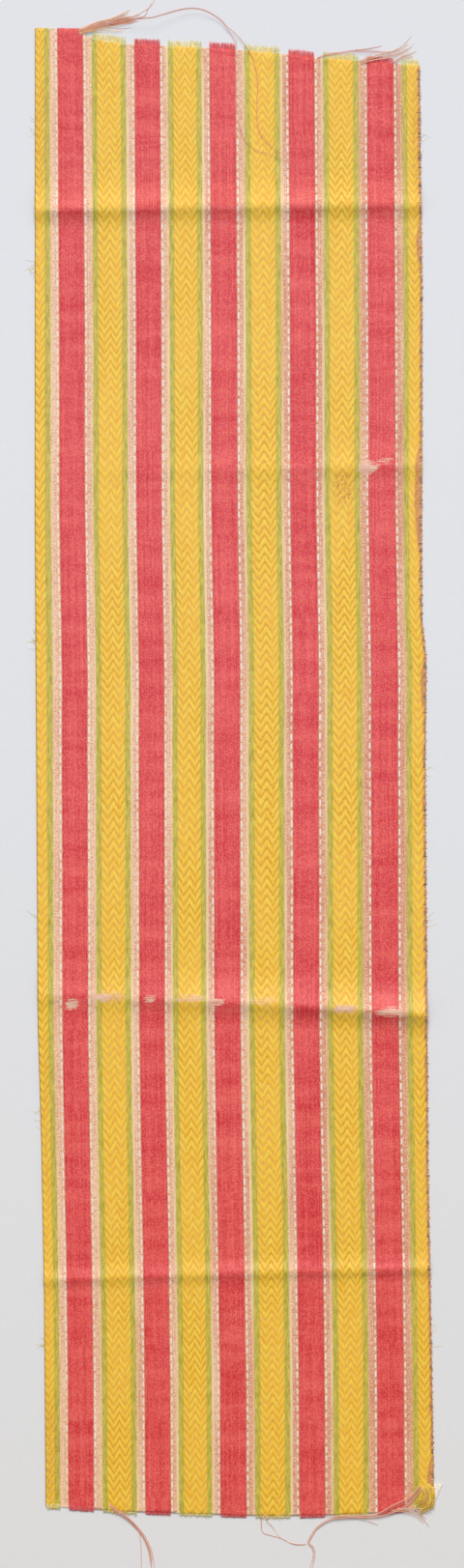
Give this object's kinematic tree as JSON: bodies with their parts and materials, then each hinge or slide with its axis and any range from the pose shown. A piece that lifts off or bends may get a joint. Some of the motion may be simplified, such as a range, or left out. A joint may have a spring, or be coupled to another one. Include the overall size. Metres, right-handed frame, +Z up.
{
  "type": "striped woven cloth",
  "caption": "Cut length of striped warp-faced cloth lying flat, with low ridges along old folds and frayed ends with loose weft threads.",
  "frame": {"origin": "under the middle of the whole box, on the table that the cloth lies on", "axes": "+X across the stripes, +Y along them towards the end with the long loose threads, +Z up out of the face"},
  "size_m": [0.2066, 0.8224, 0.0046],
  "materials": {
    "striped_weave": "silky warp-faced weave in red, peach, green and yellow stripes",
    "frayed_ends": "loose silky threads in the stripes' colours and salmon weft"
  },
  "bodies": {
    "root": {"cloth": "striped_weave", "top_fringe": "frayed_ends", "bottom_fringe": "frayed_ends"}
  },
  "joints": []
}
